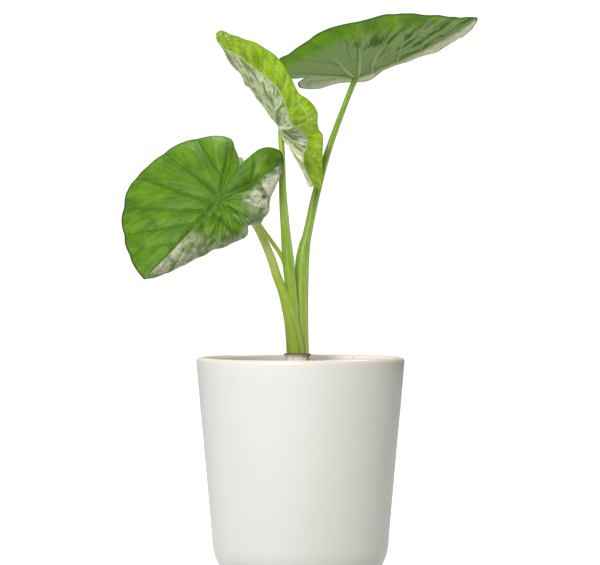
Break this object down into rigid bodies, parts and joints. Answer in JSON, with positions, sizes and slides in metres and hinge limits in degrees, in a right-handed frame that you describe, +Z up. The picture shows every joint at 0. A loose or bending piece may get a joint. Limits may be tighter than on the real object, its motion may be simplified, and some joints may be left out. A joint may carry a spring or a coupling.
{
  "type": "potted alocasia plant",
  "caption": "Young aroid house plant with large heart-shaped leaves on long clasping stems, growing in a plain white glazed pot; it stands on the pot's flat base.",
  "frame": {"origin": "centre of the pot's flat base", "axes": "+Z up the plant; +X to the viewer's right and +Y away from the viewer of the picture"},
  "size_m": [0.2905, 0.2264, 0.4639],
  "materials": {
    "glaze": "gloss",
    "soil": "matte",
    "husk": "matte",
    "stem": "satin",
    "leaf": "satin",
    "young_leaf": "satin"
  },
  "bodies": {
    "root": {"pot": "glaze", "soil": "soil", "crown": "husk", "petiole_left": "stem", "petiole_middle": "stem", "petiole_right": "stem", "petiole_young": "stem", "blade_left": "leaf", "blade_middle": "young_leaf", "blade_right": "leaf", "blade_young": "leaf"}
  },
  "joints": []
}
